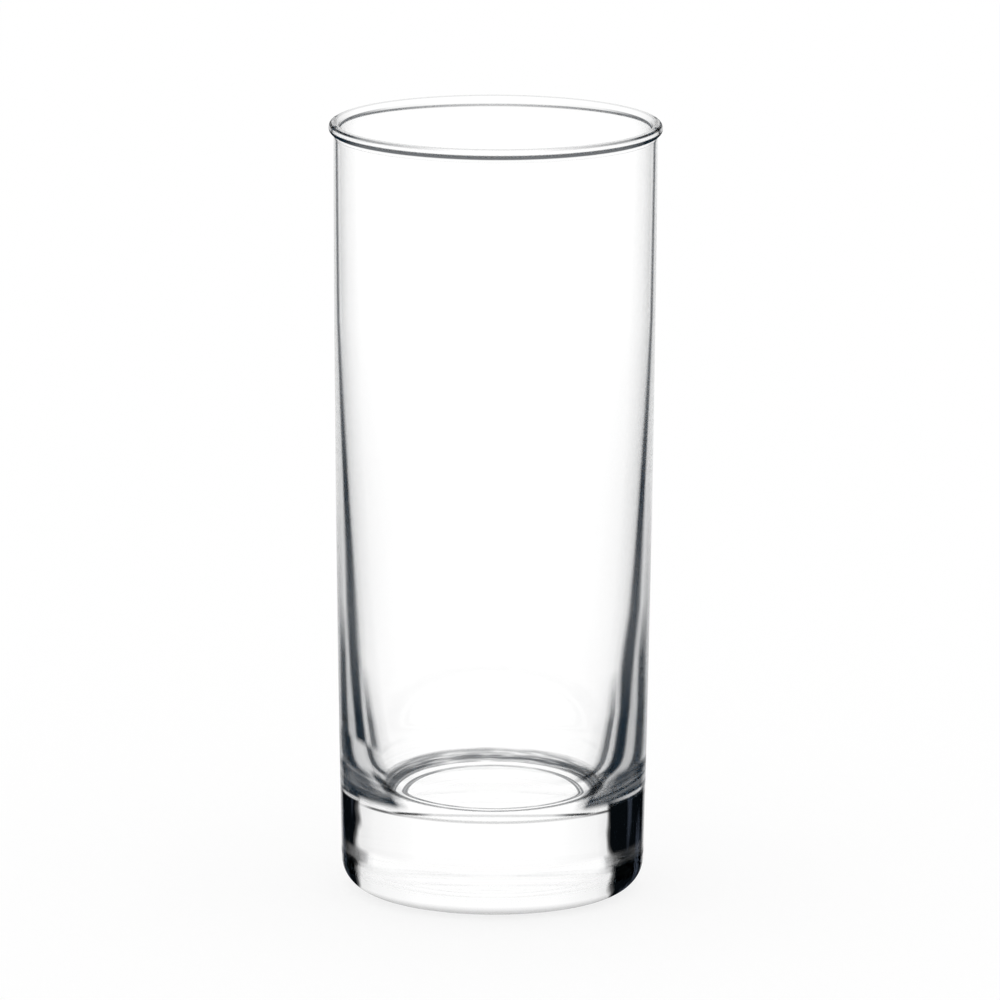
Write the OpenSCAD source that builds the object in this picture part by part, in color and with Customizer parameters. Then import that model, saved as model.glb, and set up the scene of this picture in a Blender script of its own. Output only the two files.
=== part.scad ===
// Highball glass: a tall tumbler of clear glass with a thick base and a beaded rim.
// It is one piece, turned about the Z axis. The origin is at the middle of the face that it stands on.
// Lengths are in millimetres and angles in degrees.

/* [Size] */
// Height from the table to the top of the rim
glass_h = 155; // [110:1:200]
// Outer diameter of the wall just under the rim
wall_top_d = 64; // [56:0.5:80]
// Outer diameter of the base just above its rounded heel
base_d = 60.4; // [54:0.2:76]

/* [Rim] */
// How far the rounded bead of the rim stands out past the wall
bead_out = 1; // [0.4:0.1:1.6]
// Radius of the hollow blend that carries the outer wall into the bead
bead_blend_r = 1.5; // [0.5:0.1:2.5]

/* [Wall] */
// Wall thickness just under the rim
wall_top_t = 1.2; // [0.9:0.1:2]
// How much wider the wall is half way up than a straight taper would be
wall_bow = 0.7; // [0:0.1:2]
// Angle between the inner and the outer wall low down, where they leave the corner
wall_draft = 5.9; // [3:0.1:9]

/* [Base] */
// Thickness of the solid base, from the table to the floor inside
sham_h = 18.2; // [12:0.2:30]
// Diameter of the flat floor inside
floor_d = 36; // [26:0.5:40]
// Radius of the rounded corner between the floor and the inner wall
corner_r = 6.8; // [4:0.1:8]
// Radius of the heel, where the side turns under
heel_r = 6.4; // [3:0.1:8]
// Width of the flat ring that the glass stands on
ring_w = 2.8; // [1:0.1:5]
// Depth of the shallow hollow inside that ring
punt_h = 0.6; // [0.3:0.1:2]

/* [Hidden] */
$fn = 180;
// Straight steps that follow the curve of each wall
wall_steps = 24;
// How far the drink space is cut past the rim
cut_over = 1;

// The bead is flush with the wall inside, and as thick as the wall and what stands out past it
bead_r = (wall_top_t + bead_out) / 2;
bead_x = wall_top_d / 2 + bead_out - bead_r;
bead_z = glass_h - bead_r;
// The blend circle touches the outer wall at this height, and the wall runs straight up from there
collar_z = bead_z - sqrt(bead_out * (2 * (bead_r + bead_blend_r) - bead_out));

// The outer wall is a straight taper with a slight bow
outer_span = collar_z - heel_r;
outer_taper = (wall_top_d - base_d) / 2;
function outer_share(z) = (z - heel_r) / outer_span;
function outer_x(z) =
    base_d / 2 + outer_taper * outer_share(z) + 2 * wall_bow * outer_share(z) * (1 - outer_share(z));
function outer_slope(z) = (outer_taper + 2 * wall_bow * (1 - 2 * outer_share(z))) / outer_span;

// The corner is an arc that leaves the floor level and meets the inner wall at that wall's own lean
corner_x = floor_d / 2;
corner_z = sham_h + corner_r;
corner_lean = atan(outer_slope(corner_z) + tan(wall_draft));
inner_low_x = corner_x + corner_r * cos(corner_lean);
inner_low_z = corner_z - corner_r * sin(corner_lean);

// The wall thickens downwards along a power curve, which meets the corner at the draft angle
inner_span = collar_z - inner_low_z;
wall_gain = outer_x(inner_low_z) - inner_low_x - wall_top_t;
thicken_power = tan(wall_draft) * inner_span / wall_gain;
function down_share(z) = max(0, (collar_z - z) / inner_span);
function inner_x(z) = outer_x(z) - wall_top_t - wall_gain * pow(down_share(z), thicken_power);

// The hollow underneath is a cap of a large ball
heel_x = base_d / 2 - heel_r;
punt_x = heel_x - ring_w;
punt_r = (punt_x * punt_x + punt_h * punt_h) / (2 * punt_h);

function steps(low, high) = [for (i = [0 : wall_steps]) low + (high - low) * i / wall_steps];

// Half section of the outside, from the table up to the middle of the bead
module outer_section() {
    square([heel_x, heel_r]);
    intersection() {
        translate([heel_x, heel_r]) circle(heel_r);
        square([base_d / 2, heel_r]);
    }
    polygon(concat(
        [[0, heel_r]],
        [for (z = steps(heel_r, collar_z)) [outer_x(z), z]],
        [[wall_top_d / 2, bead_z], [0, bead_z]]));
}

// Half section of the drink space, open past the rim
module inner_section() {
    translate([corner_x, corner_z]) circle(corner_r);
    polygon(concat(
        [[0, sham_h], [corner_x, sham_h], [corner_x, corner_z]],
        [for (z = steps(inner_low_z, collar_z)) [inner_x(z), z]],
        [[wall_top_d / 2 - wall_top_t, glass_h + cut_over], [0, glass_h + cut_over]]));
}

// Half section of the bead, and of the blend that starts in the wall and flows up into it
module bead_section() {
    blend_x = wall_top_d / 2 + bead_blend_r;
    translate([bead_x, bead_z]) circle(bead_r);
    difference() {
        polygon([[bead_x, bead_z], [wall_top_d / 2 - wall_top_t / 2, collar_z], [blend_x, collar_z]]);
        translate([blend_x, collar_z]) circle(bead_blend_r);
    }
}

// Half section of the hollow underneath
module punt_section() {
    translate([0, punt_h - punt_r]) circle(punt_r);
}

module tumbler() {
    color([0.86, 0.93, 0.95, 0.35])
    rotate_extrude() {
        difference() {
            outer_section();
            inner_section();
            punt_section();
        }
        bead_section();
    }
}

tumbler();
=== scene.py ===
"""Looks of the highball glass: its turned body as a fine mesh, two glass materials, and a white room."""

import math
from collections import namedtuple

import bpy
from mathutils import Matrix, Vector

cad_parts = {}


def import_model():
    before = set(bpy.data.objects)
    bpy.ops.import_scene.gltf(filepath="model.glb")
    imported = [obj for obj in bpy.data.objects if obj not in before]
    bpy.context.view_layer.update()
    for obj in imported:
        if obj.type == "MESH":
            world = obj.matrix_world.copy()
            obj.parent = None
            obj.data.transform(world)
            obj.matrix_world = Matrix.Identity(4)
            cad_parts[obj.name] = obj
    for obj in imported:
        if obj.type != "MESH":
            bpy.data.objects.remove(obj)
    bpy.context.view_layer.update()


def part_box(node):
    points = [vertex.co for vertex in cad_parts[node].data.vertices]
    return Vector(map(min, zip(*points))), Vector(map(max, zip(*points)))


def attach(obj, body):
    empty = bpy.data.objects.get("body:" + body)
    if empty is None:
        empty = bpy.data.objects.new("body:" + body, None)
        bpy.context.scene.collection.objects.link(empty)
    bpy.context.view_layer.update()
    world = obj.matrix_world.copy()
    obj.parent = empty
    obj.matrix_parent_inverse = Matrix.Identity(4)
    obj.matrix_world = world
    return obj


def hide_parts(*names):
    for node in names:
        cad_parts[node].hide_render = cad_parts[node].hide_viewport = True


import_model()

# Sizes of the glass, in metres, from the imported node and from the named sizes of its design
MM = 0.001
LOW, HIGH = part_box("tumbler")
GLASS_H = HIGH.z
RIM_R = min(HIGH.x, -LOW.y)
BEAD_OUT = 1.0 * MM
BLEND_R = 1.5 * MM
WALL_TOP_R = RIM_R - BEAD_OUT
WALL_TOP_T = 1.2 * MM
WALL_BOW = 0.7 * MM
WALL_DRAFT = math.radians(5.9)
BASE_R = 30.2 * MM
SHAM_H = 18.2 * MM
FLOOR_R = 18.0 * MM
CORNER_R = 6.8 * MM
HEEL_R = 6.4 * MM
RING_W = 2.8 * MM
PUNT_H = 0.6 * MM

# Fineness of the mesh: steps round the axis, and along each stretch of the section
ROUND_STEPS = 320
PUNT_STEPS = 24
RING_STEPS = 4
HEEL_STEPS = 48
WALL_STEPS = 200
BLEND_STEPS = 12
BEAD_OUTSIDE_STEPS = 30
BEAD_INSIDE_STEPS = 14
COLLAR_STEPS = 3
CORNER_STEPS = 48
FLOOR_STEPS = 12

# The camera, from the fit to the photograph. Its lens and sensor are in millimetres, as Blender has them.
CAMERA_DISTANCE = 2.0
CAMERA_ELEVATION = math.radians(11.9)
CAMERA_LENS = 362.15
CAMERA_SENSOR = 36
CAMERA_ROLL = math.radians(0.26)
CAMERA_AIM = Vector((0.00118, 0.0, 0.07875))
CAMERA_REACH = 50

# The room. With fewer bounces, light that is turned back many times in the heel comes out black.
BOUNCES = 128
# The floor: its size, its matt white, its own even white, and how much of that the camera sees directly
FLOOR_SIZE = 8
FLOOR_COLOUR = (0.92, 0.92, 0.92, 1)
FLOOR_ROUGHNESS = 0.9
FLOOR_WHITE = 1.02
FLOOR_WHITE_SHARE = 0.8

# Clear soda-lime glass, and the tones of the painted shade, what still passes where it is painted dark:
# in its lines, in the near black of its base, and in the upright stripes there
GLASS_IOR = 1.52
CLEAR = (1, 1, 1, 1)
EDGE_SHADE_TONE = (0.007, 0.016, 0.026, 1)
BASE_SHADE_TONE = (0.002, 0.003, 0.004, 1)
STRIPE_SHADE_TONE = (0.024, 0.030, 0.042, 1)

# Each ramp below is a row of places, with a level from 0 to 1 at each place.
# SHADES are painted shade: how much the glass lets through where it is painted dark. 0 is dark and 1 is
# clear.
# HEIGHTS say at which heights a painted line is there, in millimetres, and STRENGTHS how strong it is.
# The side share that they go by is 0 where the glass faces the eye, and 1 at its outline.
# STREAKS, STRIPES and WAVES say how fine a noise is.

# The wall's painted shade, by the depth inside the outline, in shares of the depth at which the darkest
# painted line lies.
# From the top of the wall down to its foot, where a second dark line ends
TOP_SHADES = (
    (0, 0.85), (0.35, 0.72), (0.6, 0.6), (0.78, 0.25), (0.92, 0.15), (1.08, 0.17), (1.3, 0.45),
    (1.5, 0.7), (1.9, 0.8), (2.6, 0.86), (3.6, 0.92), (5, 0.96), (7, 1))
UPPER_SHADES = (
    (0, 0.8), (0.3, 0.66), (0.62, 0.6), (0.72, 0.4), (0.8, 0.1), (0.87, 0.035), (1.14, 0.03), (1.22, 0.2),
    (1.35, 0.55), (1.6, 0.76), (2.2, 0.84), (3, 0.91), (4.2, 0.96), (6, 1))
MIDDLE_SHADES = (
    (0, 0.7), (0.08, 0.52), (0.2, 0.43), (0.38, 0.52), (0.5, 0.62), (0.6, 0.45), (0.69, 0.14),
    (0.84, 0.07), (1.08, 0.09), (1.18, 0.2), (1.3, 0.52), (1.45, 0.77), (1.8, 0.88), (2.6, 0.94), (4, 1))
JOIN_SHADES = (
    (0, 0.65), (0.14, 0.38), (0.2, 0.15), (0.3, 0.07), (0.44, 0.09), (0.52, 0.4), (0.6, 0.52),
    (0.68, 0.5), (0.76, 0.14), (0.83, 0.055), (1.15, 0.065), (1.25, 0.13), (1.35, 0.42), (1.5, 0.78),
    (1.8, 0.9), (2.6, 0.95), (4, 1))
LOW_SHADES = (
    (0, 0.6), (0.1, 0.4), (0.19, 0.06), (0.3, 0.035), (0.42, 0.06), (0.5, 0.38), (0.6, 0.48),
    (0.76, 0.44), (0.84, 0.1), (0.9, 0.012), (1.05, 0.006), (1.2, 0.03), (1.27, 0.3), (1.35, 0.6),
    (1.46, 0.6), (1.53, 0.17), (1.68, 0.15), (1.76, 0.45), (1.95, 0.8), (2.5, 0.95), (4, 1))
FOOT_SHADES = (
    (0, 0.55), (0.08, 0.4), (0.13, 0.1), (0.25, 0.05), (0.35, 0.012), (0.46, 0.012), (0.53, 0.1),
    (0.6, 0.35), (0.7, 0.55), (1.0, 0.62), (1.2, 0.5), (1.26, 0.1), (1.4, 0.09), (1.47, 0.38), (1.6, 0.58),
    (1.9, 0.85), (2.4, 0.95), (4, 1))
# Each stretch of the wall takes over from the one below it between two heights
WALL_STRETCHES = (
    (38 * MM, 49 * MM, JOIN_SHADES),
    (49 * MM, 60 * MM, MIDDLE_SHADES),
    (60 * MM, 84 * MM, UPPER_SHADES),
    (84 * MM, 112 * MM, TOP_SHADES))
# The low stretch takes over from the foot here, higher on the left than on the right
FOOT_Z = (28.1 * MM, 29.5 * MM)
FOOT_TILT = 5.0 * MM
# Height and depth of the darkest painted line, in millimetres, and a length that no depth is beyond
LINE_DEPTHS = (
    (22, 12.0), (23.7, 10.8), (25.3, 9.2), (27.4, 7.2), (29, 5.4), (30.5, 4.8), (33, 4.4), (40, 3.8),
    (60, 3.0), (80, 2.1), (100, 1.35), (117, 0.8), (155, 0.6))
LINE_SPAN = 14.0
# The painted lines are not even: on the right they lie deeper by these shares, and on the left shallower
LEAN_SHARES = ((22, 0.05), (26, 0.08), (33, 0.1), (40, 0.1), (46, 0.14), (52, 0.13), (60, 0.04), (70, 0))

# The corner zone of painted shade, between the base and the wall, and how far above and below its ends it
# blends with them
CORNER_LOW_Z = 21.5 * MM
CORNER_HIGH_Z = 27.5 * MM
CORNER_SOFT = 0.8 * MM
# Its toe gives way to the rest of it between these heights. Both go by the same shares as the wall
TOE_Z = (23.0 * MM, 24.6 * MM)
TOE_SHADES = (
    (0, 0.5), (0.04, 0.2), (0.08, 0.02), (0.12, 0.045), (0.17, 0.015), (0.25, 0.008), (0.4, 0.025),
    (0.5, 0.045), (0.65, 0.07), (0.8, 0.05), (0.88, 0.03), (0.96, 0.6), (1.1, 1))
CORNER_SHADES = (
    (0, 0.5), (0.045, 0.22), (0.09, 0.035), (0.14, 0.04), (0.2, 0.08), (0.28, 0.12), (0.45, 0.09),
    (0.6, 0.1), (0.66, 0.2), (0.74, 0.32), (0.82, 0.5), (0.88, 0.3), (0.92, 0.1), (1.04, 0.1),
    (1.15, 0.7), (1.4, 0.95), (1.8, 1))
# Its fine streaks slant down inwards, and raise the shade to a power between these two
CORNER_STREAKS = 900
CORNER_SLANT = 2.0 * MM
CORNER_UNEVEN = (0.66, 1.3)

# The base's painted shade, by how far off the axis the sight line passes, in shares of the base's radius.
# The lean brings the painted dark side further in on the right, and the wave makes its edge uneven.
BASE_SHADES = ((0.5, 1), (0.75, 0.9), (0.822, 0.8), (0.845, 0.1), (0.862, 0), (0.95, 0), (1, 0))
BASE_LEAN_SHARE = 0.06
BASE_WAVE_SHARE = 0.02
BASE_WAVES = 140
# The softer painted greys low in the base
BASE_LOW_HEIGHTS = ((8.0, 0), (8.7, 1), (10.4, 1), (11.4, 0))
BASE_LOW_SHADES = (
    (0.76, 1), (0.79, 0.9), (0.805, 0.58), (0.82, 0.42), (0.835, 0.25), (0.85, 0.15), (0.87, 0.1),
    (0.89, 0.06), (0.92, 0.03), (0.95, 0.02), (1, 0.04))
# The pale rim of light along the base's outline, by the side share
OUTLINE_SHADES = ((0.983, 0), (0.991, 0.3), (1, 0.8))
# Upright stripes in the painted dark sides of the base, drawn out in height, and the part of the noise that
# they use
STRIPES = 330
STRIPE_SQUASH = (1.0, 1.0, 0.15)
STRIPE_NOISE = (0.5, 0.64)
# The painted grey streak of shade that reaches in from both sides of the base. Its strength goes by the
# base's shares
STREAK_HEIGHTS = ((7.2, 0), (7.6, 0.9), (8.2, 0.5), (8.5, 0.6), (8.9, 0))
STREAK_STRENGTHS = ((0.74, 0), (0.8, 0.1), (0.86, 0.7), (1, 0.7))
# The two painted dark lines of the floor's edge, as the front of the base shows them. The upper falls to the
# sides
UPPER_LINE_HEIGHTS = ((21.35, 0), (21.6, 1), (21.85, 1), (22.1, 0))
UPPER_LINE_STRENGTHS = ((0.2, 0.25), (0.45, 0.3), (0.54, 0.9), (0.64, 0.95), (0.7, 0.4), (0.8, 0))
UPPER_LINE_FALL = 3.0 * MM
LOWER_LINE_HEIGHTS = ((19.8, 0), (20.05, 1), (20.3, 1), (20.55, 0))
LOWER_LINE_STRENGTHS = ((0.2, 0.3), (0.6, 0.35), (0.72, 0.85), (0.8, 0.85), (0.86, 0.2))
# The light line between the base and the corner zone near the outline, a little higher on the right
LIGHT_LINE_HEIGHTS = ((20.95, 0), (21.25, 1), (21.65, 1), (21.95, 0))
LIGHT_LINE_STRENGTHS = ((0.76, 0), (0.84, 0.3), (0.9, 0.48), (0.965, 0.5), (0.985, 0.2), (1, 0.1))
LIGHT_LINE_TILT = 0.5 * MM
# The painted grey line of shade where the heel turns under, by height. Inwards from the heel, the underside
# is clear
HEEL_SHADES = ((0, 0.5), (0.3, 0.52), (1.2, 0.62), (1.9, 0.82), (2.6, 1))
HEEL_START = BASE_R - HEEL_R
HEEL_FADE = 0.8 * MM

# Painted shade on the rim from outside: a dark line in the crease under the bead, the line near the bead's
# top, and that top itself
CREASE_HEIGHTS = ((152.87, 0), (153.1, 1), (153.8, 1), (153.98, 0))
CREASE_STRENGTHS = ((0, 0.82), (0.45, 0.84), (0.8, 0.86), (0.86, 0.93), (0.91, 1), (1, 1))
BEAD_EDGE_HEIGHTS = ((154.4, 0), (154.6, 1), (154.82, 1), (154.93, 0), (155.1, 0))
BEAD_EDGE_STRENGTHS = (
    (0.3, 0), (0.45, 0.2), (0.69, 0.55), (0.81, 0.68), (0.88, 0.95), (0.94, 0.97), (1, 0.8))
BEAD_TOP_SHADES = ((154.82, 1), (154.92, 0.8), (155.1, 0.8))
# The painted dark line of the crease as it shows through the inside at the back, where it rises towards the
# sides and thickens
CREASE_BACK_HEIGHTS = ((152.77, 0), (152.97, 1), (153.27, 1), (153.45, 0))
CREASE_BACK_STRENGTHS = ((0, 0.35), (0.8, 0.8))
CREASE_BACK_RISE = 0.55 * MM
CREASE_THICK_HEIGHTS = ((153.4, 0), (153.55, 1), (153.95, 1), (154.1, 0))
CREASE_THICK_STRENGTHS = ((0.4, 0), (0.69, 0.1), (0.8, 0.45), (0.88, 0.75), (0.94, 0.85), (1, 0.7))

# Painted shade on the inner wall, by the depth inside its own outline, in millimetres
INNER_SHADES = ((0, 0.7), (0.5, 0.85), (1.5, 0.93), (3.5, 1))
# Painted shade rings at the floor's edge and at the inner corner, by the distance off the axis, in
# millimetres
RING_SHADES = (
    (17.3, 1), (17.7, 0.66), (18.4, 0.6), (18.8, 1), (19.9, 1), (20.2, 0.55), (20.45, 0.7), (20.8, 0.42),
    (21.3, 0.25), (21.8, 0.36), (22.1, 0.62), (22.9, 0.66), (23.3, 1))
# The rings are darker at their ends, as seen: by this power, reached between these two side shares
RING_ENDS = 2.8
RING_END_SHARES = (0.5, 0.9)
# Their streaks raise the shade to a power between these two
RING_STREAKS = 1900
RING_UNEVEN = (0.35, 2.0)

# How far streaks reach on the way round, and the part of the noise that streaks and waves use
STREAK_REACH = 1.6 * MM
STREAK_NOISE = (0.35, 0.65)
WAVE_NOISE = (0.3, 0.7)
NOISE_DETAIL = 1.0

Spot = namedtuple("Spot", "coords z across way side_share")


def arc(cx, cz, r, start, end, steps):
    """Points of an arc in the half plane, from one angle to another, in degrees from level."""
    out = []
    for i in range(steps + 1):
        a = math.radians(start + (end - start) * i / steps)
        out.append((cx + r * math.cos(a), cz + r * math.sin(a)))
    return out


def glass_profile():
    """The half section as two runs of points: up the outside to the rim, and down the inside."""
    bead_r = (WALL_TOP_T + BEAD_OUT) / 2
    bead_x = RIM_R - bead_r
    bead_z = GLASS_H - bead_r
    collar_z = bead_z - math.sqrt(BEAD_OUT * (2 * (bead_r + BLEND_R) - BEAD_OUT))
    outer_span = collar_z - HEEL_R

    def outer_share(z):
        return (z - HEEL_R) / outer_span

    def outer_x(z):
        share = outer_share(z)
        return BASE_R + (WALL_TOP_R - BASE_R) * share + 2 * WALL_BOW * share * (1 - share)

    def outer_slope(z):
        return (WALL_TOP_R - BASE_R + 2 * WALL_BOW * (1 - 2 * outer_share(z))) / outer_span

    corner_z = SHAM_H + CORNER_R
    lean = math.atan(outer_slope(corner_z) + math.tan(WALL_DRAFT))
    inner_low_x = FLOOR_R + CORNER_R * math.cos(lean)
    inner_low_z = corner_z - CORNER_R * math.sin(lean)
    inner_span = collar_z - inner_low_z
    gain = outer_x(inner_low_z) - inner_low_x - WALL_TOP_T
    power = math.tan(WALL_DRAFT) * inner_span / gain

    def inner_x(z):
        return outer_x(z) - WALL_TOP_T - gain * max(0.0, (collar_z - z) / inner_span) ** power

    heel_x = BASE_R - HEEL_R
    punt_x = heel_x - RING_W
    punt_r = (punt_x ** 2 + PUNT_H ** 2) / (2 * PUNT_H)
    punt_half = math.degrees(math.asin(punt_x / punt_r))
    blend_x = WALL_TOP_R + BLEND_R
    blend_top = math.degrees(math.atan2(bead_z - collar_z, bead_x - blend_x))

    outside = arc(0, PUNT_H - punt_r, punt_r, 90, 90 - punt_half, PUNT_STEPS)
    outside += [(punt_x + RING_W * i / RING_STEPS, 0) for i in range(1, RING_STEPS)]
    outside += arc(heel_x, HEEL_R, HEEL_R, -90, 0, HEEL_STEPS)
    rises = [HEEL_R + outer_span * i / WALL_STEPS for i in range(1, WALL_STEPS)]
    outside += [(outer_x(z), z) for z in rises]
    outside += arc(blend_x, collar_z, BLEND_R, 180, blend_top, BLEND_STEPS)
    outside += arc(bead_x, bead_z, bead_r, blend_top - 180, 90, BEAD_OUTSIDE_STEPS)[1:]
    inside = arc(bead_x, bead_z, bead_r, 90, 180, BEAD_INSIDE_STEPS)[1:]
    drops = [(bead_z - collar_z) * i / COLLAR_STEPS for i in range(1, COLLAR_STEPS)]
    inside += [(WALL_TOP_R - WALL_TOP_T, bead_z - drop) for drop in drops]
    falls = [collar_z - inner_span * i / WALL_STEPS for i in range(WALL_STEPS)]
    inside += [(inner_x(z), z) for z in falls]
    inside += arc(FLOOR_R, corner_z, CORNER_R, -math.degrees(lean), -90, CORNER_STEPS)
    inside += [(FLOOR_R * (1 - i / FLOOR_STEPS), SHAM_H) for i in range(1, FLOOR_STEPS + 1)]
    outside[0] = (0.0, outside[0][1])
    inside[-1] = (0.0, SHAM_H)
    return outside, inside


def lathe(name, outside, inside):
    """A closed body turned from a half section. The faces of the inside take the second material."""
    points = outside + inside
    verts = [(0, 0, points[0][1])]
    rings = points[1:-1]
    for x, z in rings:
        for k in range(ROUND_STEPS):
            a = 2 * math.pi * k / ROUND_STEPS
            verts.append((x * math.cos(a), x * math.sin(a), z))
    verts.append((0, 0, points[-1][1]))
    faces = []
    kinds = []
    last = len(verts) - 1
    for k in range(ROUND_STEPS):
        n = (k + 1) % ROUND_STEPS
        faces.append((0, 1 + n, 1 + k))
        kinds.append(0)
        faces.append((last, last - ROUND_STEPS + k, last - ROUND_STEPS + n))
        kinds.append(1)
    for i in range(len(rings) - 1):
        a = 1 + i * ROUND_STEPS
        b = a + ROUND_STEPS
        for k in range(ROUND_STEPS):
            n = (k + 1) % ROUND_STEPS
            faces.append((a + k, a + n, b + n, b + k))
            kinds.append(0 if i + 2 < len(outside) else 1)
    mesh = bpy.data.meshes.new(name)
    mesh.from_pydata(verts, [], faces)
    mesh.polygons.foreach_set("use_smooth", [True] * len(mesh.polygons))
    mesh.polygons.foreach_set("material_index", kinds)
    mesh.update()
    obj = bpy.data.objects.new(name, mesh)
    bpy.context.scene.collection.objects.link(obj)
    return obj


def new_material(name):
    m = bpy.data.materials.new(name)
    m.use_nodes = True
    return m, m.node_tree


def node(tree, kind, **values):
    n = tree.nodes.new(kind)
    for key, value in values.items():
        setattr(n, key, value)
    return n


def feed(tree, socket, value):
    """Sets a socket to a number or colour, or links it to another node's output."""
    if isinstance(value, bpy.types.NodeSocket):
        tree.links.new(value, socket)
    else:
        socket.default_value = value


def maths(tree, operation, *terms):
    n = node(tree, "ShaderNodeMath", operation=operation)
    for socket, term in zip(n.inputs, terms):
        feed(tree, socket, term)
    return n.outputs[0]


def product(tree, first, *others):
    for other in others:
        first = maths(tree, "MULTIPLY", first, other)
    return first


def largest(tree, first, *others):
    for other in others:
        first = maths(tree, "MAXIMUM", first, other)
    return first


def rest_of(tree, value):
    """What is left of one."""
    return maths(tree, "SUBTRACT", 1.0, value)


def vector_maths(tree, operation, *terms):
    n = node(tree, "ShaderNodeVectorMath", operation=operation)
    for socket, term in zip(n.inputs, terms):
        feed(tree, socket, term)
    return n.outputs


def spread(tree, value, low, high, out_low=0.0, out_high=1.0, kind="LINEAR"):
    """Carries a value from one range to another, and holds it at both ends."""
    n = node(tree, "ShaderNodeMapRange", interpolation_type=kind)
    for key, term in (("Value", value), ("From Min", low), ("From Max", high),
                      ("To Min", out_low), ("To Max", out_high)):
        feed(tree, n.inputs[key], term)
    return n.outputs[0]


def ramp(tree, value, stops):
    """Grey levels along a value. The ramp spans its own stops only, as it has 256 steps."""
    first, last = stops[0][0], stops[-1][0]
    n = node(tree, "ShaderNodeValToRGB")
    feed(tree, n.inputs[0], spread(tree, value, first, last))
    steps = n.color_ramp.elements
    for i, (place, level) in enumerate(stops):
        step = steps[i] if i < 2 else steps.new(1.0)
        step.position = (place - first) / (last - first)
        step.color = (level, level, level, 1)
    return n.outputs[0]


def ramp_mm(tree, length, stops):
    """Grey levels along a length, with the places of the stops in millimetres."""
    return ramp(tree, length, [(place * MM, level) for place, level in stops])


def line_round(tree, z, share, heights, strengths):
    """A painted line that runs round the glass: 1 where it is strongest, and 0 where there is none."""
    return product(tree, ramp_mm(tree, z, heights), ramp(tree, share, strengths))


def blended(tree, share, low, high):
    """Mixes two colours. The node has sockets for numbers too, so the colours go in by their order."""
    n = node(tree, "ShaderNodeMix", data_type="RGBA")
    feed(tree, n.inputs["Factor"], share)
    feed(tree, n.inputs[6], low)
    feed(tree, n.inputs[7], high)
    return n.outputs[2]


def above(tree, z, height, kind="SMOOTHSTEP"):
    """Goes from 0 below an end of the corner zone to 1 above it."""
    return spread(tree, z, height - CORNER_SOFT, height + CORNER_SOFT, kind=kind)


def find_side_share(tree, outward):
    """The sine of the angle between the sight line and the way out from the axis: 1 at an outline."""
    weight = node(tree, "ShaderNodeLayerWeight")
    feed(tree, weight.inputs["Normal"], outward)
    straight = rest_of(tree, weight.outputs["Facing"])
    return maths(tree, "SQRT", rest_of(tree, product(tree, straight, straight)))


def find_spot(tree):
    """Where a point lies: its height, distance off the axis, cosine of the angle round it, and side share."""
    coords = node(tree, "ShaderNodeTexCoord").outputs["Object"]
    split = node(tree, "ShaderNodeSeparateXYZ")
    feed(tree, split.inputs[0], coords)
    level = vector_maths(tree, "MULTIPLY", coords, (1.0, 1.0, 0.0))[0]
    across = vector_maths(tree, "LENGTH", level)["Value"]
    outward = vector_maths(tree, "NORMALIZE", level)[0]
    way = maths(tree, "DIVIDE", split.outputs["X"], across)
    return Spot(coords, split.outputs["Z"], across, way, find_side_share(tree, outward))


def curved_height(tree, spot, fall):
    """The height, changed so that a line drawn by it falls towards both sides."""
    squared = product(tree, spot.side_share, spot.side_share)
    return maths(tree, "MULTIPLY_ADD", squared, fall, spot.z)


def tilted_height(tree, spot, tilt):
    """The height, changed so that a line drawn by it falls towards the right and rises to the left."""
    return maths(tree, "MULTIPLY_ADD", spot.way, tilt, spot.z)


def noise(tree, coords, fineness):
    n = node(tree, "ShaderNodeTexNoise")
    feed(tree, n.inputs["Vector"], coords)
    n.inputs["Scale"].default_value = fineness
    n.inputs["Detail"].default_value = NOISE_DETAIL
    return n.outputs["Fac"]


def streaks_round(tree, over, way, fineness, powers):
    """Powers for uneven lines round the axis, with quick changes over a length and slow ones round it."""
    coords = node(tree, "ShaderNodeCombineXYZ")
    feed(tree, coords.inputs[0], over)
    feed(tree, coords.inputs[1], product(tree, way, STREAK_REACH))
    return spread(tree, noise(tree, coords.outputs[0], fineness), *STREAK_NOISE, *powers)


def depth_inside(tree, spot):
    """How far inside the outline a point is seen."""
    return product(tree, spot.across, rest_of(tree, spot.side_share))


def find_line_share(tree, spot):
    """The depth inside the outline, in shares of the depth at which the darkest line lies at that height."""
    stops = [(height, depth / LINE_SPAN) for height, depth in LINE_DEPTHS]
    line = product(tree, ramp_mm(tree, spot.z, stops), LINE_SPAN * MM)
    lean = product(tree, ramp_mm(tree, spot.z, LEAN_SHARES), spot.way)
    return product(tree, maths(tree, "DIVIDE", depth_inside(tree, spot), line), rest_of(tree, lean))


def wall_shade(tree, spot, share):
    """The wall's dark lines, from the foot up."""
    low = spread(tree, tilted_height(tree, spot, FOOT_TILT), *FOOT_Z)
    wall = blended(tree, low, ramp(tree, share, FOOT_SHADES), ramp(tree, share, LOW_SHADES))
    for start, end, stops in WALL_STRETCHES:
        wall = blended(tree, spread(tree, spot.z, start, end), wall, ramp(tree, share, stops))
    return wall


def corner_shade(tree, spot, share):
    """The corner zone's dark lines, made uneven by fine streaks."""
    toe = ramp(tree, share, TOE_SHADES)
    corner = blended(tree, spread(tree, spot.z, *TOE_Z), toe, ramp(tree, share, CORNER_SHADES))
    over = maths(tree, "MULTIPLY_ADD", share, CORNER_SLANT, spot.z)
    return maths(tree, "POWER", corner, streaks_round(tree, over, spot.way, CORNER_STREAKS, CORNER_UNEVEN))


def find_offset_share(tree, spot):
    """How far off the axis the sight line passes, in shares of the base's radius, with the lean."""
    share = maths(tree, "DIVIDE", product(tree, spot.side_share, spot.across), BASE_R)
    return maths(tree, "ADD", share, product(tree, spot.way, BASE_LEAN_SHARE))


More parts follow.
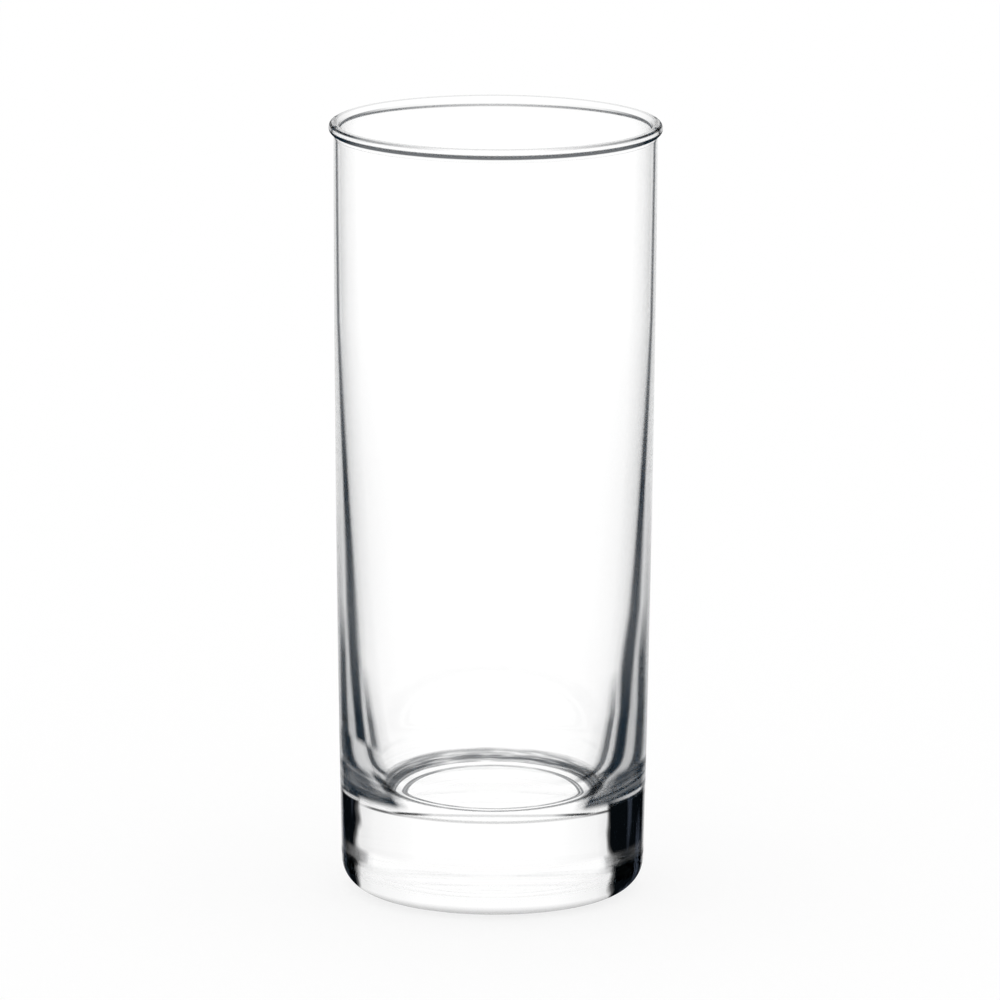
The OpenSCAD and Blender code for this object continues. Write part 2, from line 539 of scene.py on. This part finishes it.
def base_shade(tree, spot, share):
    """The base's dark sides, the softer greys low in them, and the light along the outline."""
    waves = noise(tree, spot.coords, BASE_WAVES)
    waves = spread(tree, waves, *WAVE_NOISE, -BASE_WAVE_SHARE, BASE_WAVE_SHARE)
    share = maths(tree, "ADD", share, waves)
    low = ramp_mm(tree, spot.z, BASE_LOW_HEIGHTS)
    base = blended(tree, low, ramp(tree, share, BASE_SHADES), ramp(tree, share, BASE_LOW_SHADES))
    return largest(tree, base, ramp(tree, spot.side_share, OUTLINE_SHADES))


def base_lines(tree, spot, share):
    """The painted dark lines of shade in the base: the streak low down, and the two lines of the floor's
    edge.
    """
    streak = line_round(tree, spot.z, share, STREAK_HEIGHTS, STREAK_STRENGTHS)
    curved = curved_height(tree, spot, UPPER_LINE_FALL)
    upper = line_round(tree, curved, spot.side_share, UPPER_LINE_HEIGHTS, UPPER_LINE_STRENGTHS)
    lower = line_round(tree, spot.z, spot.side_share, LOWER_LINE_HEIGHTS, LOWER_LINE_STRENGTHS)
    return largest(tree, streak, upper, lower)


def body_shade(tree, spot):
    """The painted shade of the outside, from the heel to the top of the wall: 1 where it is clear. The
    underside is clear.
    """
    line_share = find_line_share(tree, spot)
    corner = corner_shade(tree, spot, line_share)
    wall = wall_shade(tree, spot, line_share)
    shade = blended(tree, above(tree, spot.z, CORNER_HIGH_Z), corner, wall)
    offset_share = find_offset_share(tree, spot)
    base = base_shade(tree, spot, offset_share)
    shade = blended(tree, above(tree, spot.z, CORNER_LOW_Z), base, shade)
    shade = product(tree, shade, rest_of(tree, base_lines(tree, spot, offset_share)))
    tilted = tilted_height(tree, spot, -LIGHT_LINE_TILT)
    light = line_round(tree, tilted, spot.side_share, LIGHT_LINE_HEIGHTS, LIGHT_LINE_STRENGTHS)
    shade = product(tree, largest(tree, shade, light), ramp_mm(tree, spot.z, HEEL_SHADES))
    return blended(tree, spread(tree, spot.across, HEEL_START, HEEL_START + HEEL_FADE), CLEAR, shade)


def outer_shade_tone(tree, spot):
    """The colour of the painted shade: near black with stripes in the base, and blue-grey above it."""
    squashed = vector_maths(tree, "MULTIPLY", spot.coords, STRIPE_SQUASH)[0]
    stripes = spread(tree, noise(tree, squashed, STRIPES), *STRIPE_NOISE)
    base = blended(tree, stripes, BASE_SHADE_TONE, STRIPE_SHADE_TONE)
    return blended(tree, above(tree, spot.z, CORNER_LOW_Z, "LINEAR"), base, EDGE_SHADE_TONE)


def ring_shade(tree, spot):
    """The rings round the floor, darker at both ends as seen, and uneven on the way round."""
    ends = spread(tree, spot.side_share, *RING_END_SHARES, 1.0, RING_ENDS)
    streaks = streaks_round(tree, spot.across, spot.way, RING_STREAKS, RING_UNEVEN)
    return maths(tree, "POWER", ramp_mm(tree, spot.across, RING_SHADES), product(tree, ends, streaks))


def put_glass(tree, shade, tone):
    """Clear glass, mixed with dark glass that lets little through where the painted shade is dark.

    The shade acts only where light enters the glass. Inside it, where light may be turned back, all is clear.
    """
    clear = tree.nodes["Principled BSDF"]
    clear.inputs["Base Color"].default_value = CLEAR
    clear.inputs["Roughness"].default_value = 0.0
    clear.inputs["IOR"].default_value = GLASS_IOR
    clear.inputs["Transmission Weight"].default_value = 1.0
    dark = node(tree, "ShaderNodeBsdfRefraction")
    feed(tree, dark.inputs["Color"], tone)
    dark.inputs["Roughness"].default_value = 0.0
    dark.inputs["IOR"].default_value = GLASS_IOR
    from_inside = node(tree, "ShaderNodeNewGeometry").outputs["Backfacing"]
    mix = node(tree, "ShaderNodeMixShader")
    feed(tree, mix.inputs["Fac"], largest(tree, shade, from_inside))
    feed(tree, mix.inputs[1], dark.outputs[0])
    feed(tree, mix.inputs[2], clear.outputs[0])
    feed(tree, tree.nodes["Material Output"].inputs["Surface"], mix.outputs[0])


def outer_glass():
    m, tree = new_material("clear_glass_outer")
    spot = find_spot(tree)
    crease = line_round(tree, spot.z, spot.side_share, CREASE_HEIGHTS, CREASE_STRENGTHS)
    edge = line_round(tree, spot.z, spot.side_share, BEAD_EDGE_HEIGHTS, BEAD_EDGE_STRENGTHS)
    rim = product(tree, rest_of(tree, largest(tree, crease, edge)), ramp_mm(tree, spot.z, BEAD_TOP_SHADES))
    put_glass(tree, product(tree, body_shade(tree, spot), rim), outer_shade_tone(tree, spot))
    return m


def inner_glass():
    m, tree = new_material("clear_glass_inner")
    spot = find_spot(tree)
    wall = ramp_mm(tree, depth_inside(tree, spot), INNER_SHADES)
    shade = blended(tree, spread(tree, spot.z, SHAM_H, SHAM_H + CORNER_R), CLEAR, wall)
    curved = curved_height(tree, spot, -CREASE_BACK_RISE)
    crease = line_round(tree, curved, spot.side_share, CREASE_BACK_HEIGHTS, CREASE_BACK_STRENGTHS)
    thick = line_round(tree, spot.z, spot.side_share, CREASE_THICK_HEIGHTS, CREASE_THICK_STRENGTHS)
    rim = product(tree, rest_of(tree, largest(tree, crease, thick)), ramp_mm(tree, spot.z, BEAD_TOP_SHADES))
    put_glass(tree, product(tree, shade, ring_shade(tree, spot), rim), EDGE_SHADE_TONE)
    return m


def world():
    """White all round, which lights the glass evenly and is what shows behind it."""
    w = bpy.data.worlds.new("white_room")
    bpy.context.scene.world = w
    w.use_nodes = True
    back = w.node_tree.nodes["Background"]
    back.inputs["Color"].default_value = (1, 1, 1, 1)
    back.inputs["Strength"].default_value = 1.0


def floor():
    """A white floor. Seen directly, a part of it is matt white, which keeps the shadow.

    The rest of it, and all of it as the glass shows it, is its own even white.
    """
    bpy.ops.mesh.primitive_plane_add(size=FLOOR_SIZE, location=(0, 0, 0))
    f = bpy.context.active_object
    f.name = "floor"
    m, tree = new_material("floor_white")
    matt = tree.nodes["Principled BSDF"]
    matt.inputs["Base Color"].default_value = FLOOR_COLOUR
    matt.inputs["Roughness"].default_value = FLOOR_ROUGHNESS
    matt.inputs["Specular IOR Level"].default_value = 0.0
    white = node(tree, "ShaderNodeEmission")
    white.inputs["Strength"].default_value = FLOOR_WHITE
    path = node(tree, "ShaderNodeLightPath").outputs
    direct = product(tree, path["Is Camera Ray"], FLOOR_WHITE_SHARE)
    mix = node(tree, "ShaderNodeMixShader")
    feed(tree, mix.inputs["Fac"], largest(tree, direct, path["Is Glossy Ray"], path["Is Transmission Ray"]))
    feed(tree, mix.inputs[1], matt.outputs[0])
    feed(tree, mix.inputs[2], white.outputs[0])
    feed(tree, tree.nodes["Material Output"].inputs["Surface"], mix.outputs[0])
    f.data.materials.append(m)


def camera():
    data = bpy.data.cameras.new("camera")
    data.sensor_width = CAMERA_SENSOR
    data.lens = CAMERA_LENS
    data.clip_end = CAMERA_REACH
    obj = bpy.data.objects.new("camera", data)
    bpy.context.scene.collection.objects.link(obj)
    back, up = math.cos(CAMERA_ELEVATION), math.sin(CAMERA_ELEVATION)
    obj.location = Vector((0, 0, GLASS_H / 2)) + CAMERA_DISTANCE * Vector((0, -back, up))
    look = (CAMERA_AIM - obj.location).to_track_quat("-Z", "Y").to_matrix().to_4x4()
    obj.matrix_world = Matrix.Translation(obj.location) @ look @ Matrix.Rotation(CAMERA_ROLL, 4, "Z")
    bpy.context.scene.camera = obj


scene = bpy.context.scene
scene.view_settings.view_transform = "Standard"
scene.cycles.max_bounces = BOUNCES
scene.cycles.transmission_bounces = BOUNCES
scene.cycles.glossy_bounces = BOUNCES
world()
floor()
camera()
body = lathe("glass_body", *glass_profile())
body.data.materials.append(outer_glass())
body.data.materials.append(inner_glass())
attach(body, "root")
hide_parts("tumbler")
